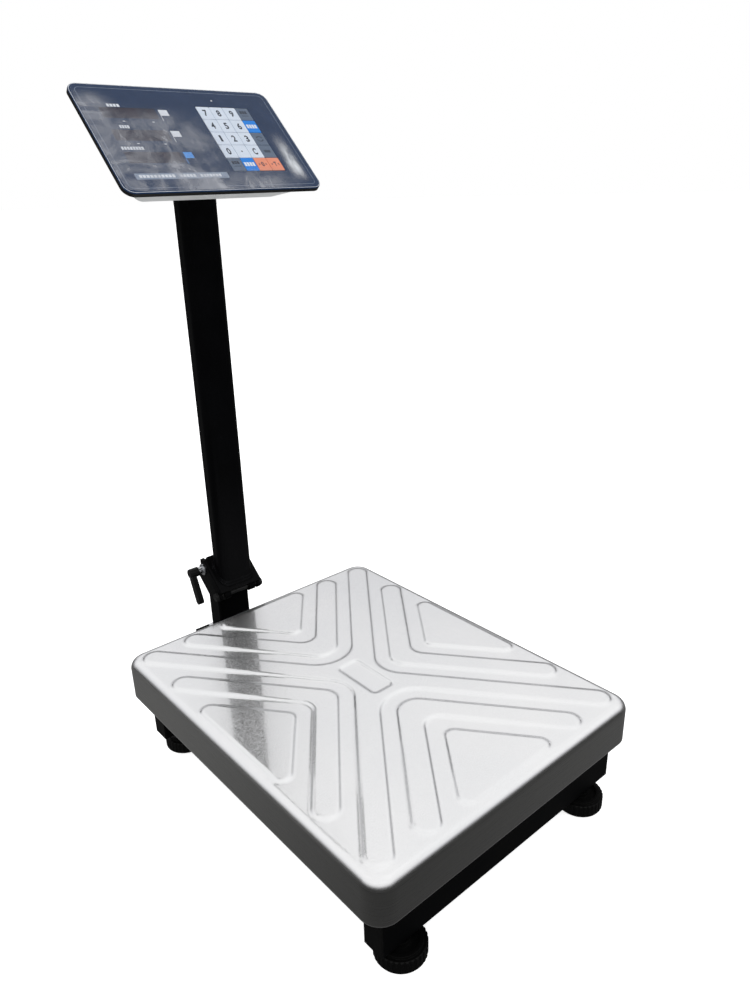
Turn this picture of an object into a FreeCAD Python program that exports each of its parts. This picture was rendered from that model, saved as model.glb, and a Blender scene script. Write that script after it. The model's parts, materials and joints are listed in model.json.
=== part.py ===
import FreeCAD, Part
import math
import os

# Folding-column platform scale with a price-computing indicator.
# Millimetres. +Z up, X across the platform, +Y towards the column.
# Modelled about the platform centre on the floor, then moved so that the
# origin is on the floor under the middle of the whole scale.

os.makedirs("parts", exist_ok=True)
V = FreeCAD.Vector
X_AXIS = V(1, 0, 0)
Y_AXIS = V(0, 1, 0)
Z_AXIS = V(0, 0, 1)

# Distance from the platform centre back to the middle of the whole scale
FRAME_SHIFT_Y = -56.5

# Platform pan
PAN_X = 402.5
PAN_Y = 500.0
PAN_TOP = 142.9
RIB_H = 2.4
SHEET = 1.2
SKIRT_BOTTOM = 89.3
PAN_CORNER = 23.7
PAN_BEND = 11.4
RIB_ANGLE = math.radians(51.9)
RIB_HALF = 14.3
RIB_REACH_X = 172.0
RIB_REACH_Y = 220.5
CHEVRON_STEP = 48.1
TRIANGLE_STEP = 83.0
RECESS_X = 15.0
RECESS_Y = 35.0

# Rib side, as distance outside the middle of the slope and share of the height;
# the last pair is buried in the sheet
RIB_PROFILE = ((-3.6, 1.0), (-1.2, 0.81), (1.2, 0.19), (5.2, -0.12))

# Base frame
BEAM_LEN = 363.6
BEAM_W = 25.4
BEAM_Z0 = 30.5
BEAM_Z1 = 80.5
FRONT_BEAM_Y = -220.9
REAR_BEAM_Y = 209.1
WALL = 2.0
SPINE_HALF = 30.0
SPINE_Z1 = 60.5
SPINE_END = 361.0

# Levelling feet
FOOT_R = 27.8
FOOT_H = 18.0
FOOT_X = 148.4
FOOT_THREAD_R = 5.0
FOOT_LOBES = 32

# Deck carried by the load cell
DECK_Z0 = 110.5
DECK_Z1 = 130.5
DECK_X = 165.0
DECK_Y = 225.0
RAIL_W = 30.0
PAD_X = 150.0
PAD_Y = 152.0
PAD_R = 6.2

# Load cell
CELL_W = 40.0
CELL_L = 150.0
CELL_Z0 = 66.5
CELL_Z1 = 106.5

# Column fold joint
HINGE_Y = 291.0
HINGE_Z = 149.4
FOLD_TILT = 42.0
PLATE_HALF = 34.5
PLATE_T = 4.0
PLATE_U0 = -2.0
PLATE_U1 = 55.5
PLATE_N0 = 11.6
PLATE_N1 = 15.6
LOCK_U = 48.0
SEAT_N = 11.1
EAR_R = 7.5
BOLT_R = 4.0
STUB_HALF = 26.0
STUB_Y0 = 305.8
STUB_Y1 = 335.8
STUB_WALL = 4.0
CABLE_Z = 93.0

# Column tube
POST_X = 52.0
POST_Y = 30.0
POST_R = 10.5
POST_YC = 300.7
POST_TOP = 699.0

# Indicator head: local X across, local Y up the face, local Z out of the face
HEAD_C = V(0, 268.9, 761.2)
HEAD_TILT = 43.93
HEAD_W = 263.5
HEAD_H = 166.8
HEAD_R = 13.0
BEZEL_T = 6.0
PANEL_W = 262.9
PANEL_H = 166.2
PANEL_R = 12.7
PANEL_T = 1.6
KEY_U = 53.3
KEY_V = -0.6
KEY_PITCH_U = 18.45
KEY_PITCH_V = 21.25
KEY_GAP = 0.6
KEY_T = 1.5
TILT_V = -2.0
TILT_W = -56.0
BACK_W = -44.0


def save(name, shape):
    moved = shape.copy()
    moved.translate(V(0, FRAME_SHIFT_Y, 0))
    moved.exportStep("parts/" + name + ".step")


def box(x0, x1, y0, y1, z0, z1):
    return Part.makeBox(x1 - x0, y1 - y0, z1 - z0, V(x0, y0, z0))


def rod(radius, start, length, axis=Z_AXIS):
    return Part.makeCylinder(radius, length, start, axis)


def fuse(shapes):
    out = shapes[0]
    for item in shapes[1:]:
        out = out.fuse(item)
    return out.removeSplitter()


def hex_prism(across, start, height, axis=Z_AXIS):
    radius = across / math.sqrt(3)
    points = []
    for i in range(7):
        a = math.radians(60 * i)
        points.append(V(radius * math.cos(a), radius * math.sin(a), 0))
    prism = Part.Face(Part.makePolygon(points)).extrude(V(0, 0, height))
    turn = FreeCAD.Rotation(Z_AXIS, axis)
    prism.Placement = FreeCAD.Placement(start, turn)
    return prism


def unit(vec):
    return vec.multiply(1.0 / vec.Length)


def rounded_wire(points, radii, z):
    """Closed wire through the polygon corners with a tangent arc at each."""
    count = len(points)
    arcs = []
    for i in range(count):
        cur = V(points[i][0], points[i][1], z)
        prv = V(points[i - 1][0], points[i - 1][1], z)
        nxt = V(points[(i + 1) % count][0], points[(i + 1) % count][1], z)
        d1 = unit(prv - cur)
        d2 = unit(nxt - cur)
        half = d1.getAngle(d2) / 2
        run = radii[i] / math.tan(half)
        mid_dir = unit(d1 + d2)
        centre = cur + mid_dir * (radii[i] / math.sin(half))
        arcs.append((cur + d1 * run, centre - mid_dir * radii[i], cur + d2 * run))
    edges = []
    for i in range(count):
        start, mid, end = arcs[i]
        edges.append(Part.Arc(start, mid, end).toShape())
        following = arcs[(i + 1) % count][0]
        if (following - end).Length > 1e-4:
            edges.append(Part.makeLine(end, following))
    return Part.Wire(edges)


def offset_corners(points, radii, amount):
    """Move every side of an anticlockwise polygon outwards by amount."""
    count = len(points)
    sides = []
    for i in range(count):
        x0, y0 = points[i]
        x1, y1 = points[(i + 1) % count]
        length = math.hypot(x1 - x0, y1 - y0)
        dx = (x1 - x0) / length
        dy = (y1 - y0) / length
        sides.append((x0 + dy * amount, y0 - dx * amount, dx, dy))
    moved = []
    new_radii = []
    for i in range(count):
        ax, ay, adx, ady = sides[i - 1]
        bx, by, bdx, bdy = sides[i]
        turn = adx * bdy - ady * bdx
        t = ((bx - ax) * bdy - (by - ay) * bdx) / turn
        moved.append((ax + adx * t, ay + ady * t))
        sign = 1 if turn > 0 else -1
        new_radii.append(radii[i] + sign * amount)
    return moved, new_radii


def prism(points, radii, z0, z1):
    return Part.Face(rounded_wire(points, radii, z0)).extrude(V(0, 0, z1 - z0))


def sloped(points, radii, z0, sunk=False):
    """Shape with softly sloping sides, raised from z0 or sunk down to it."""
    wires = []
    for out, share in RIB_PROFILE:
        moved, moved_r = offset_corners(points, radii, out)
        height = 1 - share if sunk else share
        wires.append(rounded_wire(moved, moved_r, z0 + RIB_H * height))
    return Part.makeLoft(wires, True, True)


def rect_corners(half_x, half_y, cx=0.0, cy=0.0):
    return [
        (cx - half_x, cy - half_y),
        (cx + half_x, cy - half_y),
        (cx + half_x, cy + half_y),
        (cx - half_x, cy + half_y),
    ]


def rounded_block(half_x, half_y, radius, z0, z1, cx=0.0, cy=0.0):
    return prism(rect_corners(half_x, half_y, cx, cy), [radius] * 4, z0, z1)


# ---------------------------------------------------------------- the pan


def arm_end(cx, cy):
    """Two square corners closing a rib arm that ends at (cx, cy)."""
    reach = RIB_HALF
    dx = math.cos(RIB_ANGLE)
    dy = math.sin(RIB_ANGLE)
    tip_x = cx + dx * reach
    tip_y = cy + dy * reach
    return (
        (tip_x + dy * RIB_HALF, tip_y - dx * RIB_HALF),
        (tip_x - dy * RIB_HALF, tip_y + dx * RIB_HALF),
    )


def cross_rib():
    """X-shaped rib over the whole pan."""
    side = RIB_HALF / math.sin(RIB_ANGLE)
    top = RIB_HALF / math.cos(RIB_ANGLE)
    low, high = arm_end(RIB_REACH_X, RIB_REACH_X * math.tan(RIB_ANGLE))
    points = [
        (side, 0), low, high, (0, top), (-high[0], high[1]), (-low[0], low[1]),
        (-side, 0), (-low[0], -low[1]), (-high[0], -high[1]), (0, -top),
        (high[0], -high[1]), (low[0], -low[1]),
    ]
    cap = RIB_HALF
    radii = [37, cap, cap, 44, cap, cap, 37, cap, cap, 44, cap, cap]
    return points, radii


def side_chevron(sign):
    dy = math.sin(RIB_ANGLE)
    start = CHEVRON_STEP / dy
    inner = start - RIB_HALF / dy
    outer = start + RIB_HALF / dy
    low, high = arm_end(RIB_REACH_X, (RIB_REACH_X - start) * math.tan(RIB_ANGLE))
    points = [
        (inner, 0), (high[0], -high[1]), (low[0], -low[1]),
        (outer, 0), low, high,
    ]
    radii = [20, RIB_HALF, RIB_HALF, 19, RIB_HALF, RIB_HALF]
    if sign < 0:
        points = [(-x, -y) for x, y in points]
    return points, radii


def end_chevron(sign):
    dx = math.cos(RIB_ANGLE)
    start = CHEVRON_STEP / dx
    inner = start - RIB_HALF / dx
    outer = start + RIB_HALF / dx
    low, high = arm_end((RIB_REACH_Y - start) / math.tan(RIB_ANGLE), RIB_REACH_Y)
    points = [
        (0, inner), low, high, (0, outer),
        (-high[0], high[1]), (-low[0], low[1]),
    ]
    radii = [25, RIB_HALF, RIB_HALF, 18, RIB_HALF, RIB_HALF]
    if sign < 0:
        points = [(-x, -y) for x, y in points]
    return points, radii


def side_triangle(sign):
    apex = TRIANGLE_STEP / math.sin(RIB_ANGLE)
    edge = 187.0
    half = (edge - apex) * math.tan(RIB_ANGLE)
    points = [(apex, 0), (edge, -half), (edge, half)]
    if sign < 0:
        points = [(-x, -y) for x, y in points]
    return points, [11, 11, 11]


def end_triangle(sign):
    apex = TRIANGLE_STEP / math.cos(RIB_ANGLE)
    edge = 235.0
    half = (edge - apex) / math.tan(RIB_ANGLE)
    points = [(0, apex), (half, edge), (-half, edge)]
    if sign < 0:
        points = [(-x, -y) for x, y in points]
    return points, [11, 11, 11]


def rib_outlines():
    outlines = [cross_rib()]
    for sign in (1, -1):
        outlines.append(side_chevron(sign))
        outlines.append(end_chevron(sign))
        outlines.append(side_triangle(sign))
        outlines.append(end_triangle(sign))
    return outlines


def pan_block(inset, top):
    half_x = PAN_X / 2 - inset
    half_y = PAN_Y / 2 - inset
    block = rounded_block(half_x, half_y, PAN_CORNER - inset, SKIRT_BOTTOM, top)
    edges = []
    for edge in block.Edges:
        if edge.BoundBox.ZMin > top - 0.1:
            edges.append(edge)
    return block.makeFillet(PAN_BEND - inset, edges)


def make_pan():
    plate_top = PAN_TOP - RIB_H
    outside = pan_block(0, plate_top)
    inside = pan_block(SHEET, plate_top - SHEET)
    recess, recess_r = rect_corners(RECESS_X, RECESS_Y), [6.5] * 4
    for points, radii in rib_outlines():
        rib = sloped(points, radii, plate_top)
        hollow = sloped(points, radii, plate_top - SHEET)
        if len(points) == 12:
            rib = rib.cut(sloped(recess, recess_r, plate_top, True))
            hollow = hollow.cut(sloped(recess, recess_r, plate_top - SHEET, True))
        outside = outside.fuse(rib)
        inside = inside.fuse(hollow)
    return outside.cut(inside)


# ----------------------------------------------------------- base and deck


def hollow_bar(x0, x1, y0, y1, z0, z1, along):
    outer = box(x0, x1, y0, y1, z0, z1)
    if along == "x":
        inner = box(x0, x1, y0 + WALL, y1 - WALL, z0 + WALL, z1 - WALL)
    else:
        inner = box(x0 + WALL, x1 - WALL, y0, y1, z0 + WALL, z1 - WALL)
    return outer.cut(inner)


def make_base_frame():
    half = BEAM_LEN / 2
    front = hollow_bar(-half, half, FRONT_BEAM_Y - BEAM_W / 2, FRONT_BEAM_Y + BEAM_W / 2,
                       BEAM_Z0, BEAM_Z1, "x")
    rear = hollow_bar(-half, half, REAR_BEAM_Y - BEAM_W / 2, REAR_BEAM_Y + BEAM_W / 2,
                      BEAM_Z0, BEAM_Z1, "x")
    spine = hollow_bar(-SPINE_HALF, SPINE_HALF, FRONT_BEAM_Y + BEAM_W / 2,
                       REAR_BEAM_Y - BEAM_W / 2, BEAM_Z0, SPINE_Z1, "y")
    outrigger = hollow_bar(-SPINE_HALF, SPINE_HALF, REAR_BEAM_Y + BEAM_W / 2,
                           SPINE_END, BEAM_Z0, SPINE_Z1, "y")
    frame = fuse([front, rear, spine, outrigger])
    for x in (-FOOT_X, FOOT_X):
        for y in (FRONT_BEAM_Y, REAR_BEAM_Y):
            frame = frame.cut(rod(FOOT_THREAD_R + 1, V(x, y, BEAM_Z0 - 1), 5))
    for y in CELL_LOWER_HOLES:
        for x in (-CELL_HOLE_X, CELL_HOLE_X):
            frame = frame.cut(rod(8, V(x, y, BEAM_Z0 - 1), 5))
            frame = frame.cut(rod(BOLT_R, V(x, y, SPINE_Z1 - 3), 5))
    for x, y in COLUMN_BOLTS:
        frame = frame.cut(rod(8, V(x, y, BEAM_Z0 - 1), 5))
        frame = frame.cut(rod(BOLT_R, V(x, y, SPINE_Z1 - 3), 5))
    for x, y in STOP_SPOTS:
        frame = frame.cut(rod(BOLT_R, V(x, y, BEAM_Z1 - 3), 5))
    return frame


CELL_HOLE_X = 10.0
CELL_LOWER_HOLES = (45.0, 65.0)
CELL_UPPER_HOLES = (-65.0, -45.0)
COLUMN_BOLTS = ((-18.0, 294.8), (18.0, 294.8), (-18.0, 346.8), (18.0, 346.8))
STOP_SPOTS = ((-120.0, FRONT_BEAM_Y), (120.0, FRONT_BEAM_Y),
              (-120.0, REAR_BEAM_Y), (120.0, REAR_BEAM_Y))


def make_beam_caps():
    caps = []
    half = BEAM_LEN / 2
    inner = WALL + 0.2
    for y in (FRONT_BEAM_Y, REAR_BEAM_Y):
        for side in (-1, 1):
            plate_x = sorted((side * half, side * (half + 2.0)))
            plug_x = sorted((side * half, side * (half - 12.0)))
            y0 = y - BEAM_W / 2
            y1 = y + BEAM_W / 2
            plate = box(plate_x[0], plate_x[1], y0, y1, BEAM_Z0, BEAM_Z1)
            plug = box(plug_x[0], plug_x[1], y0 + inner, y1 - inner,
                       BEAM_Z0 + inner, BEAM_Z1 - inner)
            caps.append(fuse([plate, plug]))
    plate = box(-SPINE_HALF, SPINE_HALF, SPINE_END, SPINE_END + 2, BEAM_Z0, SPINE_Z1)
    plug = box(-SPINE_HALF + inner, SPINE_HALF - inner, SPINE_END - 5, SPINE_END,
               BEAM_Z0 + inner, SPINE_Z1 - inner)
    caps.append(fuse([plate, plug]))
    return Part.makeCompound(caps)


def make_foot_nuts():
    nuts = []
    for x in (-FOOT_X, FOOT_X):
        for y in (FRONT_BEAM_Y, REAR_BEAM_Y):
            weld = hex_prism(17, V(x, y, BEAM_Z0 + WALL), 8)
            jam = hex_prism(17, V(x, y, BEAM_Z0 - 4.5), 4.5)
            for nut in (weld, jam):
                nuts.append(nut.cut(rod(FOOT_THREAD_R + 0.05, V(x, y, 0), 60)))
    return Part.makeCompound(nuts)


def make_foot():
    """Knurled levelling knob with its moulded-in threaded stud."""
    profile = [
        V(0, 0, 0), V(24.0, 0, 0), V(26.8, 0, 2.2), V(FOOT_R, 0, 3.8),
        V(FOOT_R, 0, FOOT_H - 1.2), V(FOOT_R - 1.2, 0, FOOT_H), V(23.6, 0, FOOT_H),
        V(23.0, 0, FOOT_H + 2.2), V(19.6, 0, FOOT_H + 2.2), V(19.0, 0, FOOT_H - 1.0),
        V(10.5, 0, FOOT_H - 1.0), V(10.0, 0, FOOT_H + 3.6), V(0, 0, FOOT_H + 3.6),
        V(0, 0, 0),
    ]
    cup = Part.Face(Part.makePolygon(profile)).revolve(V(0, 0, 0), Z_AXIS, 360)
    for i in range(FOOT_LOBES):
        a = 2 * math.pi * i / FOOT_LOBES
        spot = V((FOOT_R + 0.7) * math.cos(a), (FOOT_R + 0.7) * math.sin(a), 3.0)
        cup = cup.cut(rod(1.8, spot, FOOT_H))
    stud = rod(FOOT_THREAD_R, V(0, 0, FOOT_H + 3.6), 38)
    stud = stud.makeChamfer(1.0, [stud.Edges[0]])
    return cup, stud


def make_load_cell():
    half_l = CELL_L / 2
    half_w = CELL_W / 2
    mid = (CELL_Z0 + CELL_Z1) / 2
    cell = box(-half_w, half_w, -half_l, half_l, CELL_Z0, CELL_Z1)
    start = V(-half_w - 1, 0, mid)
    for y in (-20.0, 20.0):
        cell = cell.cut(rod(15.0, start + V(0, y, 0), CELL_W + 2, X_AXIS))
    cell = cell.cut(box(-half_w - 1, half_w + 1, -20, 20, mid - 6, mid + 6))
    for x in (-CELL_HOLE_X, CELL_HOLE_X):
        for y in CELL_LOWER_HOLES:
            cell = cell.cut(rod(BOLT_R, V(x, y, CELL_Z0 - 1), 14))
        for y in CELL_UPPER_HOLES:
            cell = cell.cut(rod(BOLT_R, V(x, y, CELL_Z1 - 13), 14))
    return cell


def make_cell_spacers():
    lower = box(-CELL_W / 2, CELL_W / 2, 37, 75, SPINE_Z1, CELL_Z0)
    upper = box(-CELL_W / 2, CELL_W / 2, -75, -37, CELL_Z1, DECK_Z0)
    for x in (-CELL_HOLE_X, CELL_HOLE_X):
        for y in CELL_LOWER_HOLES:
            lower = lower.cut(rod(BOLT_R, V(x, y, SPINE_Z1 - 1), 9))
        for y in CELL_UPPER_HOLES:
            upper = upper.cut(rod(BOLT_R, V(x, y, CELL_Z1 - 1), 9))
    return Part.makeCompound([lower, upper])


def cell_bolt_set():
    bolts = []
    for x in (-CELL_HOLE_X, CELL_HOLE_X):
        for y in CELL_LOWER_HOLES:
            seat = SPINE_Z1 - WALL
            shank = rod(BOLT_R, V(x, y, seat), CELL_Z0 + 12 - seat)
            bolts.append(fuse([hex_prism(13, V(x, y, seat - 6), 6), shank]))
        for y in CELL_UPPER_HOLES:
            seat = DECK_Z0 + 6
            shank = rod(BOLT_R, V(x, y, CELL_Z1 - 12), seat - CELL_Z1 + 12)
            bolts.append(fuse([rod(6.5, V(x, y, seat), 8), shank]))
    return bolts


def make_deck_frame():
    bars = []
    inner_x = DECK_X - RAIL_W
    for side in (-1, 1):
        x0, x1 = sorted((side * inner_x, side * DECK_X))
        bars.append(hollow_bar(x0, x1, -DECK_Y, DECK_Y, DECK_Z0, DECK_Z1, "y"))
        y0, y1 = sorted((side * (DECK_Y - RAIL_W), side * DECK_Y))
        bars.append(hollow_bar(-inner_x, inner_x, y0, y1, DECK_Z0, DECK_Z1, "x"))
    for y0 in (-130.0, -30.0):
        bars.append(hollow_bar(-inner_x, inner_x, y0, y0 + RAIL_W, DECK_Z0, DECK_Z1, "x"))
    bars.append(box(-60, 60, -100, -30, DECK_Z0, DECK_Z0 + 6))
    deck = fuse(bars)
    for x in (-CELL_HOLE_X, CELL_HOLE_X):
        for y in CELL_UPPER_HOLES:
            deck = deck.cut(rod(BOLT_R, V(x, y, DECK_Z0 - 1), 8))
    for x in (-PAD_X, PAD_X):
        for y in (-PAD_Y, PAD_Y):
            deck = deck.cut(rod(4.0, V(x, y, DECK_Z1 - 3), 5))
    return deck


def make_deck_pads():
    pads = []
    top = PAN_TOP - RIB_H - SHEET - 0.3
    for x in (-PAD_X, PAD_X):
        for y in (-PAD_Y, PAD_Y):
            disc = rod(PAD_R, V(x, y, DECK_Z1), top - DECK_Z1)
            disc = disc.makeFillet(1.5, [disc.Edges[0]])
            spigot = rod(4.0, V(x, y, DECK_Z1 - WALL), WALL)
            pads.append(fuse([disc, spigot]))
    return Part.makeCompound(pads)


def make_overload_stops():
    stops = []
    for x, y in STOP_SPOTS:
        shank = rod(BOLT_R, V(x, y, BEAM_Z1 - WALL), DECK_Z0 - 1.5 - BEAM_Z1 + WALL)
        nut = hex_prism(13, V(x, y, BEAM_Z1), 6.5)
        head = hex_prism(13, V(x, y, DECK_Z0 - 6.5), 5)
        stops.append(fuse([shank, nut, head]))
    return Part.makeCompound(stops)


LEVEL_X = 90.0
LEVEL_Y = REAR_BEAM_Y


def make_level_cup():
    cup = rod(11.0, V(LEVEL_X, LEVEL_Y, BEAM_Z1), 10)
    return cup.cut(rod(9.0, V(LEVEL_X, LEVEL_Y, BEAM_Z1 + 2), 9))


def make_level_glass():
    glass = rod(8.9, V(LEVEL_X, LEVEL_Y, BEAM_Z1 + 2), 8.6)
    return glass.makeFillet(1.2, [glass.Edges[0]])


def sweep_cable(points, radius):
    """Round cable through straight runs with ball corners."""
    pieces = []
    for i in range(len(points) - 1):
        run = points[i + 1] - points[i]
        pieces.append(Part.makeCylinder(radius, run.Length, points[i], run))
        if i > 0:
            pieces.append(Part.makeSphere(radius, points[i]))
    return fuse(pieces)


def make_cell_cable():
    over = BEAM_Z1 + 2.8
    points = [
        V(0, CELL_L / 2, over), V(0, REAR_BEAM_Y, over), V(0, 261, over), V(0, 287, CABLE_Z),
        V(0, 321, CABLE_Z), V(0, 321, 141.5),
    ]
    return sweep_cable(points, 2.5)


# ------------------------------------------------------- folding column


def place_fold(shape):
    """Local X, U (up the slope), N (off the slope) to the upright frame."""
    turn = FreeCAD.Rotation(X_AXIS, FOLD_TILT)
    shape.Placement = FreeCAD.Placement(V(0, HINGE_Y, HINGE_Z), turn)
    return shape


def fold_point(u, n):
    c = math.cos(math.radians(FOLD_TILT))
    s = math.sin(math.radians(FOLD_TILT))
    return (HINGE_Y + u * c - n * s, HINGE_Z + u * s + n * c)


def side_prism(points, x0, x1):
    """Prism across X from corners given as (Y, Z)."""
    ring = [V(x0, y, z) for y, z in points]
    ring.append(ring[0])
    return Part.Face(Part.makePolygon(ring)).extrude(V(x1 - x0, 0, 0))


def make_fold_lower():
    foot_top = SPINE_Z1 + 6.0
    knee = fold_point(0, -40.0)
    slope = math.tan(math.radians(FOLD_TILT))
    knee_z = knee[1] + (STUB_Y1 - knee[0]) * slope
    profile = [
        (STUB_Y0, foot_top), (STUB_Y1, foot_top), (STUB_Y1, knee_z),
        fold_point(60.5, -40.0), fold_point(60.5, SEAT_N), fold_point(7.0, SEAT_N),
        fold_point(7.0, 0.0), (STUB_Y0, 137.5),
    ]
    outer = side_prism(profile, -STUB_HALF, STUB_HALF)
    edges = []
    for edge in outer.Edges:
        size = edge.BoundBox
        if size.XLength < 0.01 and abs(size.YMin - size.YMax) < 0.01:
            edges.append(edge)
    outer = outer.makeFillet(3.5, edges)
    inner_points, unused = offset_corners(profile, [0] * len(profile), -STUB_WALL)
    inner = side_prism(inner_points, -STUB_HALF + STUB_WALL, STUB_HALF - STUB_WALL)
    body = outer.cut(inner)
    ears = []
    for x0 in (-STUB_HALF, STUB_HALF - 10.0):
        ear_points = [fold_point(0, EAR_R), fold_point(0, -EAR_R),
                      (STUB_Y0 + 1, 135.5), fold_point(9.0, EAR_R)]
        ears.append(side_prism(ear_points, x0, x0 + 10.0))
        ears.append(rod(EAR_R, V(x0, HINGE_Y, HINGE_Z), 10.0, X_AXIS))
    ears.append(box(-42, 42, 284.8, SPINE_END, SPINE_Z1, foot_top))
    y0, z0 = fold_point(60.5, -12.0)
    lug = box(-STUB_HALF, -STUB_HALF + 6, y0 - 4, y0 + 6, z0 - 6, z0 + 6)
    ears.append(lug)
    body = fuse([body] + ears)
    body = body.cut(rod(BOLT_R, V(-60, HINGE_Y, HINGE_Z), 120, X_AXIS))
    lock_y, lock_z = fold_point(LOCK_U, 0)
    body = body.cut(rod(BOLT_R, V(-60, lock_y, lock_z), 120, X_AXIS))
    body = body.cut(rod(3.5, V(0, STUB_Y0 - 2, CABLE_Z), 10, Y_AXIS))
    top_hole = rod(7.0, V(0, 26.0, 0), 20)
    body = body.cut(place_fold(top_hole))
    for x, y in COLUMN_BOLTS:
        body = body.cut(rod(BOLT_R, V(x, y, SPINE_Z1 - 1), 9))
    return body


def column_bolt_set():
    bolts = []
    for x, y in COLUMN_BOLTS:
        foot_top = SPINE_Z1 + 6.0
        shank = rod(BOLT_R, V(x, y, SPINE_Z1 - 12), foot_top - SPINE_Z1 + 12)
        head = hex_prism(13, V(x, y, foot_top), 5.3)
        nut = hex_prism(13, V(x, y, SPINE_Z1 - WALL - 6.5), 6.5)
        bolts.append(fuse([shank, head, nut]))
    return bolts


def make_hinge_bolt():
    start = V(-PLATE_HALF - 5, HINGE_Y, HINGE_Z)
    shank = rod(BOLT_R, start, 2 * PLATE_HALF + 5.3, X_AXIS)
    head = rod(6.6, V(PLATE_HALF + 0.3, HINGE_Y, HINGE_Z), 4.6, X_AXIS)
    head = head.makeFillet(1.6, [head.Edges[0]])
    nut = hex_prism(11, V(-PLATE_HALF - 4.6, HINGE_Y, HINGE_Z), 4.3, X_AXIS)
    return fuse([shank, head, nut])


def make_lock_stud():
    y, z = fold_point(LOCK_U, 0)
    shank = rod(BOLT_R, V(-47, y, z), 88, X_AXIS)
    collar = rod(5.4, V(-43.6, y, z), 9.0, X_AXIS)
    washer = rod(8.5, V(-36.4, y, z), 1.6, X_AXIS)
    nut = hex_prism(13, V(PLATE_HALF + 0.3, y, z), 5.5, X_AXIS)
    return fuse([shank, collar, washer, nut])


def make_lock_lever():
    """Clamping lever with its hub on the lock stud."""
    y, z = fold_point(LOCK_U, 0)
    hub = rod(7.0, V(-58.0, y, z), 14.2, X_AXIS)
    hub = hub.makeFillet(1.5, [hub.Edges[2]])
    length = 42.0
    lean = math.radians(21.0)
    dy = -math.sin(lean)
    dz = -math.cos(lean)
    across = V(0, dz, -dy)
    along = V(0, dy, dz)
    hub_c = V(-57.0, y, z)
    tip_c = hub_c + along * length
    ring = [hub_c + across * 5.0, tip_c + across * 5.6,
            tip_c - across * 5.6, hub_c - across * 5.0, hub_c + across * 5.0]
    arm = Part.Face(Part.makePolygon(ring)).extrude(V(7.5, 0, 0))
    tip = rod(5.6, tip_c, 7.5, X_AXIS)
    lever = fuse([hub, arm, tip])
    return lever.cut(rod(BOLT_R + 0.05, V(-47.3, y, z), 10, X_AXIS))


def make_fold_upper():
    plate = box(-PLATE_HALF, PLATE_HALF, PLATE_U0, PLATE_U1, -1.0, PLATE_N1)
    edges = []
    for edge in plate.Edges:
        size = edge.BoundBox
        if size.ZMin > PLATE_N1 - 0.1 and size.XLength < 0.1:
            edges.append(edge)
    plate = plate.makeFillet(3.0, edges)
    gap = PLATE_HALF - PLATE_T
    plate = plate.cut(box(-gap, gap, PLATE_U0 - 1, PLATE_U1 + 1, -2, PLATE_N0))
    shapes = [plate]
    for x0 in (-PLATE_HALF, gap):
        shapes.append(rod(EAR_R, V(x0, 0, 0), PLATE_T, X_AXIS))
        shapes.append(box(x0, x0 + PLATE_T, LOCK_U - EAR_R, PLATE_U1, -EAR_R, 0))
    body = fuse(shapes)
    body = body.cut(rod(BOLT_R + 0.05, V(-60, 0, 0), 120, X_AXIS))
    body = body.cut(rod(BOLT_R + 0.4, V(-60, LOCK_U, 0), 120, X_AXIS))
    width = BOLT_R + 0.4
    body = body.cut(box(-60, 60, LOCK_U - width, LOCK_U + width, -12, 0))
    body = body.cut(rod(7.0, V(0, 26.0, PLATE_N0 - 1), 6))
    return place_fold(body)


def post_prism(grow, z0, z1):
    return rounded_block(POST_X / 2 + grow, POST_Y / 2 + grow, POST_R + grow, z0, z1, 0, POST_YC)


def below_plate(n_top):
    return place_fold(box(-100, 100, -150, 200, -200, n_top))


def make_post_tube():
    """Column tube cut on the slope, with its weld bead."""
    tube = post_prism(0, 110, POST_TOP).cut(post_prism(-WALL, 109, POST_TOP + 1))
    tube = tube.cut(below_plate(PLATE_N1))
    return fuse([tube, post_weld()])


def post_weld():
    low = post_prism(3.2, 110, 230).cut(post_prism(0, 109, 231))
    low = low.cut(below_plate(PLATE_N1))
    low = low.common(place_fold(box(-100, 100, -150, 200, PLATE_N1, PLATE_N1 + 1.8)))
    high = post_prism(1.6, 110, 230).cut(post_prism(0, 109, 231))
    high = high.common(place_fold(box(-100, 100, -150, 200, PLATE_N1 + 1.8, PLATE_N1 + 3.6)))
    return fuse([low, high])


def make_post_cable():
    return sweep_cable([V(0, POST_YC, 200), V(0, POST_YC, 690)], 2.5)


def head_point(v, w):
    c = math.cos(math.radians(HEAD_TILT))
    s = math.sin(math.radians(HEAD_TILT))
    return V(0, HEAD_C.y + v * c - w * s, HEAD_C.z + v * s + w * c)


TILT_AXIS = head_point(TILT_V, TILT_W)
EAR_X0 = 14.0
EAR_X1 = 19.0


def make_post_yoke():
    plug = post_prism(-WALL, POST_TOP - 26, POST_TOP)
    cap = post_prism(0, POST_TOP, POST_TOP + 3)
    y = TILT_AXIS.y
    z = TILT_AXIS.z
    shapes = [plug, cap]
    for x0 in (-EAR_X1, EAR_X0):
        shapes.append(box(x0, x0 + 5, y - 10, y + 10, POST_TOP + 2, z))
        shapes.append(rod(10.0, V(x0, y, z), 5, X_AXIS))
    yoke = fuse(shapes)
    yoke = yoke.cut(rod(BOLT_R, V(-30, y, z), 60, X_AXIS))
    return yoke.cut(rod(4.0, V(0, POST_YC, POST_TOP - 30), 40))


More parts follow.
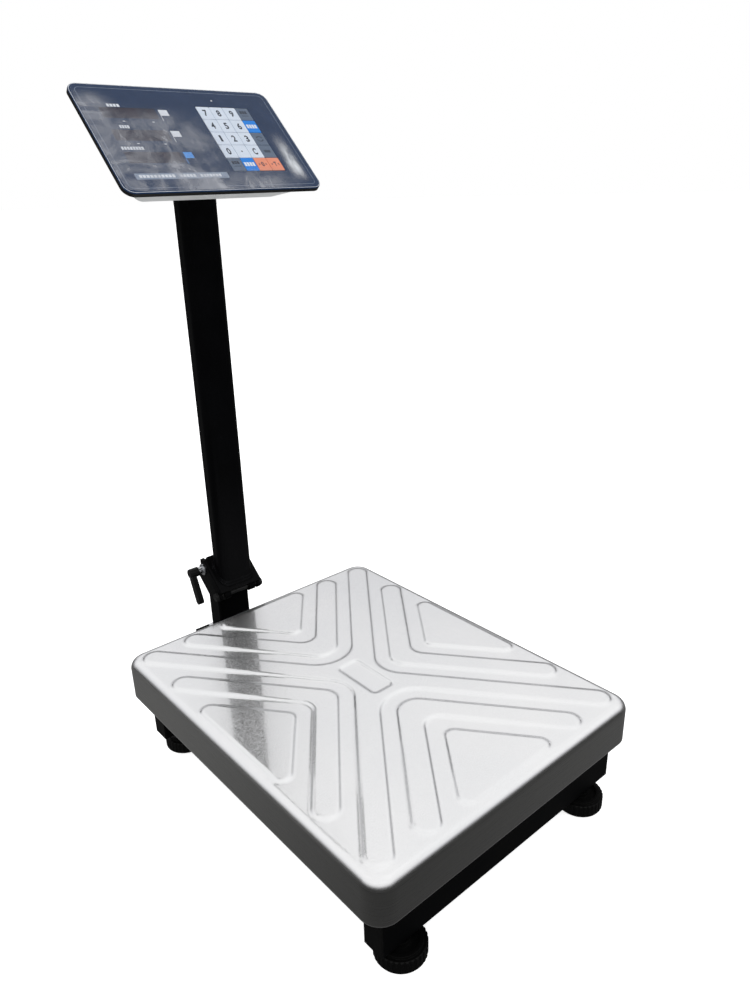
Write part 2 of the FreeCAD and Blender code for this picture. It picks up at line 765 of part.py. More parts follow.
def make_tilt_bolt():
    y = TILT_AXIS.y
    z = TILT_AXIS.z
    shank = rod(BOLT_R, V(-25, y, z), 46, X_AXIS)
    nut = hex_prism(13, V(-EAR_X1 - 6.5, y, z), 6.5, X_AXIS)
    knob = rod(9.5, V(EAR_X1, y, z), 12, X_AXIS)
    knob = knob.makeFillet(1.5, [knob.Edges[0], knob.Edges[2]])
    for i in range(12):
        a = 2 * math.pi * i / 12
        spot = V(EAR_X1 + 2, y + 10 * math.cos(a), z + 10 * math.sin(a))
        knob = knob.cut(rod(1.4, spot, 11, X_AXIS))
    return fuse([shank, nut, knob])


# ------------------------------------------------------------ indicator


def place_head(shape):
    turn = FreeCAD.Rotation(X_AXIS, HEAD_TILT)
    shape.Placement = FreeCAD.Placement(HEAD_C, turn)
    return shape


WINDOW_U = -74.3
WINDOW_HALF_U = 34.0
WINDOW_HALF_V = 8.5
WINDOW_V = (37.7, 2.7, -31.3)
KEYS_U = 2 * KEY_PITCH_U
KEYS_V = 2.5 * KEY_PITCH_V


def make_head_bezel():
    outer = rounded_block(HEAD_W / 2, HEAD_H / 2, HEAD_R, -BEZEL_T, -PANEL_T - 0.2)
    return outer.cut(rounded_block(116.0, 71.0, 5, -BEZEL_T - 1, 1))


def make_head_panel():
    """Front panel that covers the whole face of the rim."""
    panel = rounded_block(PANEL_W / 2, PANEL_H / 2, PANEL_R, -PANEL_T - 0.2, -0.2)
    edges = []
    for edge in panel.Edges:
        if edge.BoundBox.ZMin > -0.3:
            edges.append(edge)
    panel = panel.makeFillet(0.5, edges)
    for v in WINDOW_V:
        panel = panel.cut(rounded_block(WINDOW_HALF_U, WINDOW_HALF_V, 1.5, -3, 1, WINDOW_U, v))
    keys = box(KEY_U - KEYS_U - 0.3, KEY_U + KEYS_U + 0.3,
               KEY_V - KEYS_V - 0.3, KEY_V + KEYS_V + 0.3, -3, 1)
    return panel.cut(keys)


def make_display_lenses():
    lenses = []
    for v in WINDOW_V:
        lenses.append(rounded_block(WINDOW_HALF_U - 0.05, WINDOW_HALF_V - 0.05, 1.45,
                                    -PANEL_T - 0.2, -0.3, WINDOW_U, v))
    return Part.makeCompound(lenses)


def make_digit_modules():
    modules = []
    for v in WINDOW_V:
        body = box(WINDOW_U - 33, WINDOW_U + 33, v - 8, v + 8, -10.5, -2.4)
        for i in range(6):
            u = WINDOW_U - 27.5 + 11 * i
            for dv in (-3.4, 3.4):
                body = body.cut(box(u - 2.6, u + 2.6, v + dv - 2.2, v + dv + 2.2, -2.9, -2.3))
        modules.append(body)
    return Part.makeCompound(modules)


def make_key_board():
    u0 = KEY_U - KEYS_U - 4
    u1 = KEY_U + KEYS_U + 4
    v0 = KEY_V - KEYS_V - 4
    v1 = KEY_V + KEYS_V + 4
    board = box(u0, u1, v0, v1, -5.2, -3.4)
    posts = []
    for u in (u0 + 1.6, u1 - 1.6):
        for v in (v0 + 1.6, v1 - 1.6):
            posts.append(rod(1.5, V(u, v, -3.4), 3.4 - PANEL_T - 0.2))
    return fuse([board] + posts)


def make_key(column, row):
    """One printed key cell, column 0-3 from the left, row 0-4 from the top."""
    u = KEY_U + (column - 1.5) * KEY_PITCH_U
    v = KEY_V + (2 - row) * KEY_PITCH_V
    half_u = (KEY_PITCH_U - KEY_GAP) / 2
    half_v = (KEY_PITCH_V - KEY_GAP) / 2
    cap = rounded_block(half_u, half_v, 0.8, -KEY_T, 0, u, v)
    edges = []
    for edge in cap.Edges:
        if edge.BoundBox.ZMin > -0.1:
            edges.append(edge)
    cap = cap.makeFillet(0.25, edges)
    dome = rod(4.0, V(u, v, -KEY_T - 0.8), 0.8)
    return fuse([cap, dome])


def tub_section(half_u, half_v, radius, w):
    return rounded_wire(rect_corners(half_u, half_v), [radius] * 4, w)


def tub_solid(inset, w_top, w_back):
    sections = [
        tub_section(118 - inset, 69.5 - inset, 10, w_top),
        tub_section(116 - inset, 67.5 - inset, 10, -20.0),
        tub_section(96 - inset, 52 - inset, 9, w_back),
    ]
    return Part.makeLoft(sections, True, True)


BOARD_W0 = -12.0
BOARD_W1 = -10.5
SCREWS = ((-122.0, -60.0), (-122.0, 60.0), (122.0, -60.0), (122.0, 60.0),
          (-60.0, -75.6), (60.0, -75.6), (-60.0, 75.6), (60.0, 75.6))
BATTERY_U = -60.0
SWITCH_U = 62.0
SWITCH_V = -24.0
SOCKET_V = 14.0
SWITCH_PIVOT_W = -41.0
SWITCH_LEAN = 7.0


def make_head_rear():
    flange = rounded_block(127, 79.5, 11, -8.8, -BEZEL_T)
    shell = fuse([flange, tub_solid(0, -8.0, BACK_W)])
    shell = shell.cut(tub_solid(2.5, -8.0, BACK_W + 2.5))
    shell = shell.cut(rounded_block(115.5, 67.0, 8, -9, -5))
    shell = shell.cut(rounded_block(29, 37, 3, -50, -40, BATTERY_U, 0))
    shell = shell.cut(box(SWITCH_U - 6.6, SWITCH_U + 6.6, SWITCH_V - 9.6, SWITCH_V + 9.6, -50, -40))
    shell = shell.cut(rod(5.5, V(SWITCH_U, SOCKET_V, -50), 10))
    for u, v in SCREWS:
        shell = shell.cut(rod(1.6, V(u, v, -10), 6))
    rails = []
    for side in (-1, 1):
        u = BATTERY_U + side * 32.6
        rails.append(box(u - 1.2, u + 1.2, -40, 40, BACK_W - 3.4, BACK_W))
        lip0, lip1 = sorted((u - side * 2.8, u))
        rails.append(box(lip0, lip1, -40, 40, BACK_W - 3.4, BACK_W - 2.4))
    for u in (-96.0, 96.0):
        for v in (-52.0, 52.0):
            boss = rod(3.5, V(u, v, BACK_W), BOARD_W0 - BACK_W)
            rails.append(boss.common(tub_solid(0.5, -8.0, BACK_W + 0.5)))
    return fuse([shell] + rails)


def make_battery_door():
    plate = box(BATTERY_U - 31.0, BATTERY_U + 31.0, -39, 39, BACK_W - 2.1, BACK_W - 0.3)
    ribs = []
    for i in range(5):
        v = -30 + 4 * i
        ribs.append(box(BATTERY_U - 10, BATTERY_U + 10, v, v + 1.6, BACK_W - 3.0, BACK_W - 2.0))
    return fuse([plate] + ribs)


def make_battery():
    cells = []
    for i in range(3):
        u = BATTERY_U - 19 + 19 * i
        cell = rod(9.2, V(u, -33, -30.5), 66, Y_AXIS)
        cells.append(cell)
    wrap = rounded_block(28.6, 33.4, 2, -40.0, -31.0, BATTERY_U, 0)
    return fuse(cells + [wrap])


def make_main_board():
    return box(-106, 106, -60, 60, BOARD_W0, BOARD_W1)


def make_board_parts():
    parts = [
        box(10, 30, 0, 20, -14.5, -12.0),
        box(40, 52, 30, 42, -14.0, -12.0),
        box(60, 84, 25, 37, -20.0, -12.0),
        box(-10, 4, -50, -40, -18.0, -12.0),
        rod(6.0, V(30, -40, -21.0), 9.0),
        rod(4.0, V(46, -42, -24.0), 12.0),
        rod(4.0, V(58, -42, -24.0), 12.0),
        rod(6.0, V(90, 0, -22.0), 10.0),
        box(70, 92, -50, -36, -17.0, -12.0),
    ]
    return Part.makeCompound(parts)


def make_housing_screws():
    screws = []
    for u, v in SCREWS:
        head = rod(2.9, V(u, v, -10.6), 1.8)
        shank = rod(1.6, V(u, v, -8.8), 5.0)
        screws.append(fuse([head, shank]))
    return Part.makeCompound(screws)


def make_tilt_knuckle():
    foot = rounded_block(13.7, 19.0, 2, BACK_W - 3.5, BACK_W, 0, TILT_V)
    web = box(-13.7, 13.7, TILT_V - 9.0, TILT_V + 9.0, TILT_W, BACK_W - 3.5)
    eye = rod(9.0, V(-13.7, TILT_V, TILT_W), 27.4, X_AXIS)
    body = fuse([foot, web, eye])
    return body.cut(rod(BOLT_R + 0.05, V(-20, TILT_V, TILT_W), 40, X_AXIS))


def make_power_switch():
    rocker = box(SWITCH_U - 6.0, SWITCH_U + 6.0, SWITCH_V - 8.2, SWITCH_V + 8.2, -46.2, -41.0)
    notch = box(SWITCH_U - 7, SWITCH_U + 7, SWITCH_V - 9, SWITCH_V + 9, -48, -45.4)
    notch = notch.cut(rod(60, V(SWITCH_U - 8, SWITCH_V, 13.6), 16, X_AXIS))
    rocker = rocker.cut(notch)
    rocker.rotate(V(0, SWITCH_V, SWITCH_PIVOT_W), X_AXIS, -SWITCH_LEAN)
    return rocker


def make_switch_frame():
    ring = box(SWITCH_U - 8.0, SWITCH_U + 8.0, SWITCH_V - 11.0, SWITCH_V + 11.0, -44.9, -44.0)
    neck = box(SWITCH_U - 7.6, SWITCH_U + 7.6, SWITCH_V - 10.4, SWITCH_V + 10.4, -41.4, -32.0)
    throat = box(SWITCH_U - 6.4, SWITCH_U + 6.4, SWITCH_V - 9.4, SWITCH_V + 9.4, -50, -37.5)
    sleeve = box(SWITCH_U - 6.6, SWITCH_U + 6.6, SWITCH_V - 9.6, SWITCH_V + 9.6, -44.9, -40.0)
    return fuse([ring, neck, sleeve]).cut(throat)


def make_back_fittings():
    barrel = rod(5.4, V(SWITCH_U, SOCKET_V, -45.4), 14)
    collar = rod(7.0, V(SWITCH_U, SOCKET_V, -45.4), 1.3)
    socket = fuse([barrel, collar])
    socket = socket.cut(rod(3.2, V(SWITCH_U, SOCKET_V, -46), 11))
    pin = rod(0.9, V(SWITCH_U, SOCKET_V, -43), 9)
    return Part.makeCompound([fuse([socket, pin]), make_switch_frame()])


KEY_NAMES = (
    ("key_7", "key_8", "key_9", "key_memory_up"),
    ("key_4", "key_5", "key_6", "key_sum"),
    ("key_1", "key_2", "key_3", "key_recall"),
    ("key_0", "key_point", "key_clear", "key_light"),
    ("key_memory_down", "key_mode", "key_zero", "key_tare"),
)


def build_base():
    save("pan", make_pan())
    save("base_frame", make_base_frame())
    save("beam_caps", make_beam_caps())
    save("foot_nuts", make_foot_nuts())
    cup, stud = make_foot()
    for name, x, y in (
        ("foot_front_left", -FOOT_X, FRONT_BEAM_Y),
        ("foot_front_right", FOOT_X, FRONT_BEAM_Y),
        ("foot_rear_left", -FOOT_X, REAR_BEAM_Y),
        ("foot_rear_right", FOOT_X, REAR_BEAM_Y),
    ):
        pair = [cup.copy(), stud.copy()]
        for item in pair:
            item.translate(V(x, y, 0))
        save(name, Part.makeCompound(pair))
    save("load_cell", make_load_cell())
    save("cell_spacers", make_cell_spacers())
    save("frame_bolts", Part.makeCompound(cell_bolt_set() + column_bolt_set()))
    save("deck_frame", make_deck_frame())
    save("deck_pads", make_deck_pads())
    save("overload_stops", make_overload_stops())
    save("level_cup", make_level_cup())
    save("level_glass", make_level_glass())
    save("cell_cable", make_cell_cable())


def build_column():
    save("fold_lower", make_fold_lower())
    save("hinge_bolt", make_hinge_bolt())
    save("lock_stud", make_lock_stud())
    save("lock_lever", make_lock_lever())
    save("fold_upper", make_fold_upper())
    save("post_tube", make_post_tube())
    save("post_cable", make_post_cable())
    save("post_yoke", make_post_yoke())
    save("tilt_bolt", make_tilt_bolt())


def build_head():
    save("head_bezel", place_head(make_head_bezel()))
    save("head_panel", place_head(make_head_panel()))
    save("display_lenses", place_head(make_display_lenses()))
    save("digit_modules", place_head(make_digit_modules()))
    save("key_board", place_head(make_key_board()))
    save("head_rear", place_head(make_head_rear()))
    save("main_board", place_head(make_main_board()))
    save("board_parts", place_head(make_board_parts()))
    save("battery", place_head(make_battery()))
    save("battery_door", place_head(make_battery_door()))
    save("housing_screws", place_head(make_housing_screws()))
    save("tilt_knuckle", place_head(make_tilt_knuckle()))
    save("power_switch", place_head(make_power_switch()))
    save("back_fittings", place_head(make_back_fittings()))
    for row, names in enumerate(KEY_NAMES):
        for column, name in enumerate(names):
            save(name, place_head(make_key(column, row)))


build_base()
build_column()
build_head()
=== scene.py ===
import json
import math

import bmesh
import bpy
from mathutils import Matrix, Vector


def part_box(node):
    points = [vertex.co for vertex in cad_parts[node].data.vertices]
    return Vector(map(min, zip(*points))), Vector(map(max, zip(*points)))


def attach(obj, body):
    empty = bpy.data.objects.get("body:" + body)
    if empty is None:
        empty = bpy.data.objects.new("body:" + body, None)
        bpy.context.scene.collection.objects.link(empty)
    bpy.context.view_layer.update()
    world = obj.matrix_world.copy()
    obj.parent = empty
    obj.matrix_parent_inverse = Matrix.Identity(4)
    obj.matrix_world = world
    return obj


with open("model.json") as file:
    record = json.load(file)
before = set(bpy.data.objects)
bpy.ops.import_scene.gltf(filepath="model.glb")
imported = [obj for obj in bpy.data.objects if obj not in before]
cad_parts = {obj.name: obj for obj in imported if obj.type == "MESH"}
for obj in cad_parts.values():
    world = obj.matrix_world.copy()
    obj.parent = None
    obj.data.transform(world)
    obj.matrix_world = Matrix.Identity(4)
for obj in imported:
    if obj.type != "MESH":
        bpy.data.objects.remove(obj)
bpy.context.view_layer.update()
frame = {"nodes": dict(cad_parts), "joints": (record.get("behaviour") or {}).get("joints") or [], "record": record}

MM = 0.001

# The head's face: u to the right, v up the face, w out of it, in millimetres
PANEL_HALF_U = 131.45
PANEL_HALF_V = 83.1
PANEL_CORNER = 12.7
EDGE_ROUNDING = 0.6
EDGE_SHINE_W = 0.5
FILM_MARGIN_U = 1.45
FILM_MARGIN_V = 1.6
FILM_CORNER_PULL = 3.0
PANEL_FACE_W = -0.2
PRINT_T = 0.04
KEY_TOP_W = 0.0


# ---------------------------------------------------------------- materials

class Look:
    """One procedural material while it is wired up."""

    def __init__(self, name, **constants):
        self.material = bpy.data.materials.new(name)
        self.material.use_nodes = True
        self.tree = self.material.node_tree
        self.shader = self.tree.nodes["Principled BSDF"]
        coordinates = self.node("TexCoord")
        self.point = coordinates.outputs["Object"]
        self.normal = coordinates.outputs["Normal"]
        self.uv = coordinates.outputs["UV"]
        self.set(**constants)

    def node(self, kind, **inputs):
        made = self.tree.nodes.new("ShaderNode" + kind)
        for name, value in inputs.items():
            self.feed(made.inputs[name.replace("_", " ")], value)
        return made

    def feed(self, socket, value):
        if isinstance(value, bpy.types.NodeSocket):
            self.tree.links.new(value, socket)
        else:
            socket.default_value = value

    def set(self, **inputs):
        for name, value in inputs.items():
            self.feed(self.shader.inputs[name.replace("_", " ")], value)

    def noise(self, scale, stretch=(1, 1, 1), detail=4.0, rough=0.55, swirl=0.0, where=None):
        placed = self.node("Mapping", Vector=where or self.point, Scale=stretch)
        return self.node("TexNoise", Vector=placed.outputs[0], Scale=scale, Detail=detail,
                         Roughness=rough, Distortion=swirl).outputs[0]

    def span(self, value, low, high, to_low=0.0, to_high=1.0):
        """value from low..high spread smoothly over to_low..to_high."""
        made = self.node("MapRange", Value=value, From_Min=low, From_Max=high,
                         To_Min=to_low, To_Max=to_high)
        made.interpolation_type = "SMOOTHSTEP"
        return made.outputs[0]

    def math(self, how, a, b=0.0):
        made = self.tree.nodes.new("ShaderNodeMath")
        made.operation = how
        self.feed(made.inputs[0], a)
        self.feed(made.inputs[1], b)
        return made.outputs[0]

    def mix(self, factor, a, b):
        made = self.tree.nodes.new("ShaderNodeMix")
        made.data_type = "RGBA"
        for socket, value in zip((0, 6, 7), (factor, a, b)):
            self.feed(made.inputs[socket], value)
        return made.outputs[2]

    def part(self, vector, axis):
        return self.node("SeparateXYZ", Vector=vector).outputs[axis]

    def bump(self, height, distance, strength=1.0, under=None):
        made = self.node("Bump", Height=height, Distance=distance, Strength=strength)
        if under is not None:
            self.tree.links.new(under, made.inputs["Normal"])
        self.set(Normal=made.outputs[0])
        return made.outputs[0]

    def edges(self, radius):
        """Rounded normal at sharp edges, and how near an edge a point is."""
        round_off = self.node("Bevel", Radius=radius)
        round_off.samples = 4
        facing = self.node("VectorMath")
        facing.operation = "DOT_PRODUCT"
        self.feed(facing.inputs[0], round_off.outputs[0])
        self.feed(facing.inputs[1], self.node("NewGeometry").outputs["Normal"])
        return round_off.outputs[0], self.span(facing.outputs["Value"], 0.99, 0.8)


def grey(level, alpha=1.0):
    return (level, level, level, alpha)


def steel_look():
    """Pan: polished top with a fine haze over its mirror, brushed skirt; upward faces get a brighter base colour
    than the skirt, which is painted light.
    """
    look = Look("pan_steel", Metallic=1.0)
    top = look.span(look.part(look.normal, 2), 0.35, 0.8)
    haze = look.noise(2600.0, detail=1.0)
    brushed = look.noise(40.0, (0.6, 0.6, 60.0), detail=5.0, rough=0.7)
    clouds = look.noise(5.5, detail=2.0)
    smudge = look.noise(17.0, detail=5.0, rough=0.6, swirl=0.8)
    top_rough = look.math("ADD", look.span(haze, 0.43, 0.52, 0.07, 0.37),
                          look.span(smudge, 0.5, 0.8, 0.0, 0.04))
    side_rough = look.span(brushed, 0.25, 0.75, 0.26, 0.34)
    look.set(Roughness=look.math(
        "ADD", look.math("MULTIPLY", top, top_rough),
        look.math("MULTIPLY", look.math("SUBTRACT", 1.0, top), side_rough)))
    # Painted light: upward-facing steel gets a much brighter base colour than the skirt of the same sheet.
    top_painted_light_tone = look.mix(look.span(clouds, 0.35, 0.7), (0.90, 0.905, 0.915, 1), (0.93, 0.93, 0.935, 1))
    skirt = look.mix(look.span(brushed, 0.3, 0.7), (0.44, 0.44, 0.43, 1), (0.52, 0.52, 0.51, 1))
    # Painted highlight: a pale band along the bottom of the skirt.
    painted_lip_highlight = look.span(look.part(look.point, 2), 0.0912, 0.0896)
    skirt = look.mix(painted_lip_highlight, skirt, (0.95, 0.95, 0.95, 1))
    look.set(Base_Color=look.mix(top, skirt, top_painted_light_tone))
    rounded = look.node("Bevel", Radius=0.0022)
    rounded.samples = 4
    sheet = look.bump(clouds, 0.0016, 0.3, rounded.outputs[0])
    fine = look.math("MULTIPLY", look.math("SUBTRACT", 1.0, top), brushed)
    look.bump(fine, 0.0001, 0.25, sheet)
    return look.material


def coat_look(name, dark, light, rough, peel=0.00012, shine=0.05):
    """Powder coat: orange-peel skin, with a painted highlight that lightens it a little along the edges."""
    look = Look(name, Specular_IOR_Level=shine)
    skin = look.noise(900.0, detail=2.0)
    patch = look.noise(14.0, detail=5.0, rough=0.65)
    rounded, edge = look.edges(0.0009)
    # Painted highlight: sharp edges lighten towards a grey, broken up by noise.
    coat_edge_highlight = look.math("MULTIPLY", edge, look.span(look.noise(70.0, detail=4.0), 0.42, 0.7))
    look.set(Base_Color=look.mix(coat_edge_highlight, look.mix(patch, dark, light), (0.03, 0.031, 0.034, 1)),
             Roughness=look.span(patch, 0.3, 0.7, rough - 0.05, rough + 0.07))
    look.bump(skin, peel, 0.5, rounded)
    return look.material


def plastic_look(name, dark, light, rough, grain=700.0, depth=0.00008, gloss=0.45):
    """Moulded plastic: fine mould grain, slight mottling, soft edges carrying a painted highlight."""
    look = Look(name, Specular_IOR_Level=gloss)
    patch = look.noise(22.0, detail=4.0)
    rounded, edge = look.edges(0.0005)
    # Painted highlight: a lighter copy of the plastic's colour laid along its edges.
    lit = tuple(min(1.0, c * 1.6 + 0.002) for c in light[:3]) + (1,)
    plastic_edge_highlight = look.math("MULTIPLY", edge, 0.6)
    look.set(Base_Color=look.mix(plastic_edge_highlight, look.mix(patch, dark, light), lit),
             Roughness=look.span(patch, 0.3, 0.7, rough - 0.04, rough + 0.06))
    look.bump(look.noise(grain, detail=2.0), depth, 0.5, rounded)
    return look.material


def metal_look(name, dark, light, rough, stretch=(1, 1, 1)):
    """Plated or machined metal with drawn streaks and fine tarnish."""
    look = Look(name, Metallic=1.0)
    streak = look.noise(160.0, stretch, detail=5.0, rough=0.7)
    tarnish = look.noise(45.0, detail=5.0)
    look.set(Base_Color=look.mix(look.span(tarnish, 0.35, 0.7), light, dark),
             Roughness=look.span(streak, 0.25, 0.75, rough - 0.07, rough + 0.1))
    look.bump(streak, 0.00005, 0.5, look.edges(0.0003)[0])
    return look.material


def film_print_look(name, dark, light, rough=0.16, shine=0.12):
    """Ink under a clear glossy overlay, with faint print mottle."""
    look = Look(name, Specular_IOR_Level=shine, Coat_Weight=0.06, Coat_Roughness=0.06)
    mottle = look.noise(55.0, detail=6.0, rough=0.7)
    look.set(Base_Color=look.mix(look.span(mottle, 0.3, 0.7), dark, light),
             Roughness=look.span(mottle, 0.3, 0.7, rough, rough + 0.1))
    look.bump(look.noise(35.0, detail=2.0), 0.0002, 0.3)
    return look.material


def board_look():
    """Circuit board: solder mask with copper tracks showing through."""
    look = Look("board_green", Specular_IOR_Level=0.5, Roughness=0.35)
    tracks = look.node("TexBrick", Vector=look.point, Scale=260.0).outputs["Fac"]
    shade = look.mix(look.noise(80.0), (0.012, 0.10, 0.04, 1), (0.02, 0.16, 0.06, 1))
    look.set(Base_Color=look.mix(tracks, shade, (0.05, 0.26, 0.10, 1)))
    return look.material


def level_look():
    """Spirit level: tinted fluid behind clear plastic."""
    look = Look("level_glass", Roughness=0.05, Transmission_Weight=0.7, IOR=1.45)
    look.set(Base_Color=look.mix(look.noise(200.0), (0.55, 0.75, 0.1, 1), (0.68, 0.86, 0.2, 1)))
    return look.material


def haze_look():
    """Loose protective film: clear, with milky clouds where it has lifted."""
    look = Look("face_film", Specular_IOR_Level=0.7, Roughness=0.2)
    u, v = look.part(look.uv, 0), look.part(look.uv, 1)
    cloud = look.noise(3.2, (1.3, 1.0, 1.0), detail=7.0, rough=0.6, swirl=1.0, where=look.uv)
    streak = look.noise(7.0, (2.6, 0.5, 1.0), detail=5.0, rough=0.6, swirl=0.6, where=look.uv)
    lower_left = look.math("MULTIPLY", look.span(u, 0.68, 0.3), look.span(v, 0.85, 0.5))
    left = look.math("MULTIPLY", look.span(u, 0.2, 0.05), look.span(v, 0.97, 0.8))
    foot = look.math("MULTIPLY", look.span(v, 0.24, 0.08), look.span(u, 0.97, 0.6))
    patch_u = look.math("MULTIPLY", look.span(u, 0.85, 0.915), look.span(u, 0.97, 0.92))
    patch_v = look.math("MULTIPLY", look.span(v, 0.03, 0.2), look.span(v, 0.6, 0.25))
    glare = look.math("MULTIPLY", patch_u, patch_v)
    reach = look.math("MAXIMUM", lower_left, look.math("MAXIMUM", left, foot))
    milk = look.math("MULTIPLY", look.span(cloud, 0.34, 0.64), reach)
    lines = look.math("MULTIPLY", look.span(streak, 0.48, 0.7), reach)
    haze = look.math("ADD", look.math("MULTIPLY", milk, 0.38), look.math("MULTIPLY", lines, 0.2))
    haze = look.math("ADD", haze, look.math("MULTIPLY", reach, 0.07))
    haze = look.math("ADD", haze, look.math(
        "MULTIPLY", glare, look.span(streak, 0.38, 0.6, 0.35, 0.85)))
    look.set(Alpha=look.math("ADD", haze, 0.01),
             Base_Color=look.mix(glare, (0.58, 0.60, 0.66, 1), (0.86, 0.90, 0.95, 1)))
    look.bump(streak, 0.002, 0.4)
    return look.material


def make_looks():
    """Materials by the record's slot name."""
    return {
        "pan_steel": steel_look(),
        "black_coat": coat_look("black_coat", grey(0.0012), (0.0024, 0.0024, 0.003, 1), 0.42),
        "post_coat": coat_look("post_coat", grey(0.001), (0.002, 0.0021, 0.0028, 1), 0.34, 0.00006),
        "black_plastic": plastic_look("black_plastic", grey(0.0025), grey(0.0045), 0.5, gloss=0.1),
        "foot_plastic": plastic_look("foot_plastic", grey(0.002), grey(0.0035), 0.34, gloss=0.12),
        "zinc": metal_look("zinc", (0.50, 0.51, 0.53, 1), (0.74, 0.75, 0.77, 1), 0.24, (1, 1, 6)),
        "black_bolt": coat_look("black_bolt", grey(0.005), grey(0.009), 0.36, 0.00003, 0.4),
        "cell_alloy": metal_look("cell_alloy", grey(0.62), grey(0.80), 0.3, (1, 12, 1)),
        "rubber": plastic_look("rubber", grey(0.018), grey(0.028), 0.8, 400.0, gloss=0.25),
        "level_glass": level_look(),
        "cable_sheath": plastic_look("cable_sheath", grey(0.03), grey(0.05), 0.6),
        "lever_coat": coat_look("lever_coat", grey(0.003), grey(0.005), 0.3, 0.00003, 0.15),
        "bezel_plastic": plastic_look("bezel_plastic", grey(0.007), grey(0.010), 0.3, 900.0,
                                      0.00004, 0.2),
        "panel_film": film_print_look("panel_film", (0.014, 0.034, 0.085, 1),
                                      (0.020, 0.042, 0.100, 1)),
        "lens": film_print_look("lens", (0.020, 0.022, 0.045, 1), (0.034, 0.026, 0.042, 1), 0.1),
        "module_black": plastic_look("module_black", grey(0.02), grey(0.03), 0.5),
        "board_green": board_look(),
        "housing_plastic": plastic_look("housing_plastic", (0.64, 0.65, 0.65, 1),
                                        (0.71, 0.72, 0.72, 1), 0.45, 500.0),
        "chip_black": plastic_look("chip_black", grey(0.02), grey(0.04), 0.55),
        "battery_wrap": plastic_look("battery_wrap", (0.03, 0.10, 0.34, 1), (0.05, 0.14, 0.42, 1),
                                     0.3),
        "switch_red": plastic_look("switch_red", (0.42, 0.015, 0.01, 1), (0.55, 0.03, 0.02, 1),
                                   0.25),
        "key_white": film_print_look("key_white", (0.66, 0.74, 0.86, 1), (0.72, 0.79, 0.90, 1)),
        "key_grey": film_print_look("key_grey", (0.11, 0.15, 0.22, 1), (0.13, 0.17, 0.24, 1)),
        "key_blue": film_print_look("key_blue", (0.015, 0.21, 0.72, 1), (0.02, 0.25, 0.80, 1)),
        "key_orange": film_print_look("key_orange", (0.80, 0.27, 0.16, 1), (0.86, 0.32, 0.21, 1)),
        "ink_dark": film_print_look("ink_dark", (0.030, 0.038, 0.055, 1), (0.045, 0.055, 0.08, 1)),
        "ink_white": film_print_look("ink_white", (0.72, 0.76, 0.82, 1), (0.80, 0.84, 0.90, 1)),
        "ink_blue": film_print_look("ink_blue", (0.06, 0.28, 0.72, 1), (0.09, 0.33, 0.80, 1)),
        "ink_pale": film_print_look("ink_pale", (0.20, 0.26, 0.36, 1), (0.30, 0.36, 0.47, 1)),
        "face_film": haze_look(),
    }


LOOKS = make_looks()


def paint(obj, look):
    obj.data.materials.clear()
    obj.data.materials.append(LOOKS[look])


def paint_cad():
    for row in frame["record"]["subparts"]:
        paint(frame["nodes"][row["node"]], row["material_slot"])


# ---------------------------------------------------------------- printed face

def face_matrix():
    """From face millimetres (u, v, w) to the frame's metres."""
    press = next(j for j in frame["joints"] if j["name"] == "key_5_press")
    out = -Vector(press["axis"]).normalized()
    right = Vector((1, 0, 0))
    up = out.cross(right)
    panel = frame["nodes"]["head_panel"]
    points = [panel.matrix_world @ vertex.co for vertex in panel.data.vertices]
    across, upward, outward = ([p.dot(axis) for p in points] for axis in (right, up, out))
    middle = (right * (min(across) + max(across)) / 2 + up * (min(upward) + max(upward)) / 2
              + out * (max(outward) - PANEL_FACE_W * MM))
    turn = Matrix((right, up, out)).transposed().to_4x4()
    return Matrix.Translation(middle) @ turn @ Matrix.Scale(MM, 4)


FACE = face_matrix()


def add_mesh(name, bm, look, body, smooth=False):
    mesh = bpy.data.meshes.new(name)
    bm.normal_update()
    bm.to_mesh(mesh)
    bm.free()
    obj = bpy.data.objects.new(name, mesh)
    bpy.context.scene.collection.objects.link(obj)
    for face in mesh.polygons:
        face.use_smooth = smooth
    paint(obj, look)
    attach(obj, body)
    return obj


def rounded_rect(half_u, half_v, radius, cu=0.0, cv=0.0, steps=8):
    corners = ((half_u, half_v, 0), (-half_u, half_v, 90),
               (-half_u, -half_v, 180), (half_u, -half_v, 270))
    ring = []
    for u, v, start in corners:
        mid_u = cu + math.copysign(abs(u) - radius, u)
        mid_v = cv + math.copysign(abs(v) - radius, v)
        for i in range(steps + 1):
            turn = math.radians(start + 90.0 * i / steps)
            ring.append((mid_u + radius * math.cos(turn), mid_v + radius * math.sin(turn)))
    return ring


def add_slab(bm, ring, w, thick=PRINT_T):
    """Closed thin slab over one outline."""
    low = [bm.verts.new((u, v, w)) for u, v in ring]
    high = [bm.verts.new((u, v, w + thick)) for u, v in ring]
    bm.faces.new(high)
    bm.faces.new(low[::-1])
    for i in range(len(ring)):
        j = (i + 1) % len(ring)
        bm.faces.new((low[i], low[j], high[j], high[i]))


def add_ring(bm, outer, inner, w, thick=PRINT_T):
    """Closed thin band between two outlines with equal point counts."""
    loops = [[bm.verts.new((u, v, z)) for u, v in ring]
             for ring, z in ((outer, w), (outer, w + thick), (inner, w + thick), (inner, w))]
    for a, b in zip(loops, loops[1:] + loops[:1]):
        for i in range(len(a)):
            j = (i + 1) % len(a)
            bm.faces.new((a[i], a[j], b[j], b[i]))


def box_ring(u0, u1, v0, v1):
    return [(u0, v0), (u1, v0), (u1, v1), (u0, v1)]


def face_print(name, rings, look, body="head", w=PANEL_FACE_W):
    bm = bmesh.new()
    for ring in rings:
        add_slab(bm, ring, w)
    bm.transform(FACE)
    obj = add_mesh(name, bm, look, body)
    return obj


